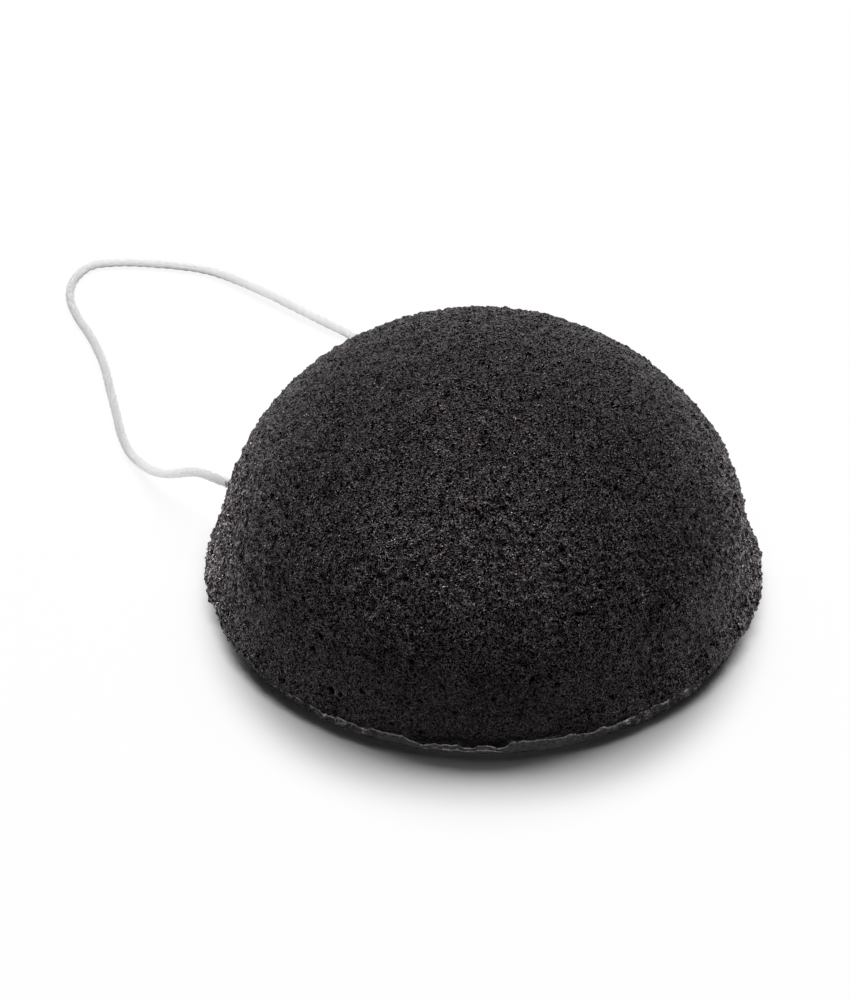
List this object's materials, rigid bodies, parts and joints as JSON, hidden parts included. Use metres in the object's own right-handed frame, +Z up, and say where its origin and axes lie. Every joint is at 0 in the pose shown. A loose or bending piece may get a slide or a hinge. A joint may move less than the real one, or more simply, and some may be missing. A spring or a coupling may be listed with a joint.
{
  "type": "konjac sponge",
  "caption": "Half-ball konjac face sponge with a flat base, rolled lip and fine open foam, on a thin twisted cotton hanging loop knotted behind it.",
  "frame": {"origin": "centre of the sponge's flat base, on the surface that it stands on", "axes": "+Z up through the crown of the dome, +Y towards the hanging loop, +X towards the knot's side"},
  "size_m": [0.0835, 0.1447, 0.0392],
  "materials": {
    "konjac_foam": "satin",
    "cotton_cord": "matte"
  },
  "bodies": {
    "root": {"sponge_body": "konjac_foam", "threaded_cord": "cotton_cord", "hanging_loop": "cotton_cord", "return_leg": "cotton_cord", "loop_knot": "cotton_cord", "cord_tails": "cotton_cord"}
  },
  "joints": []
}
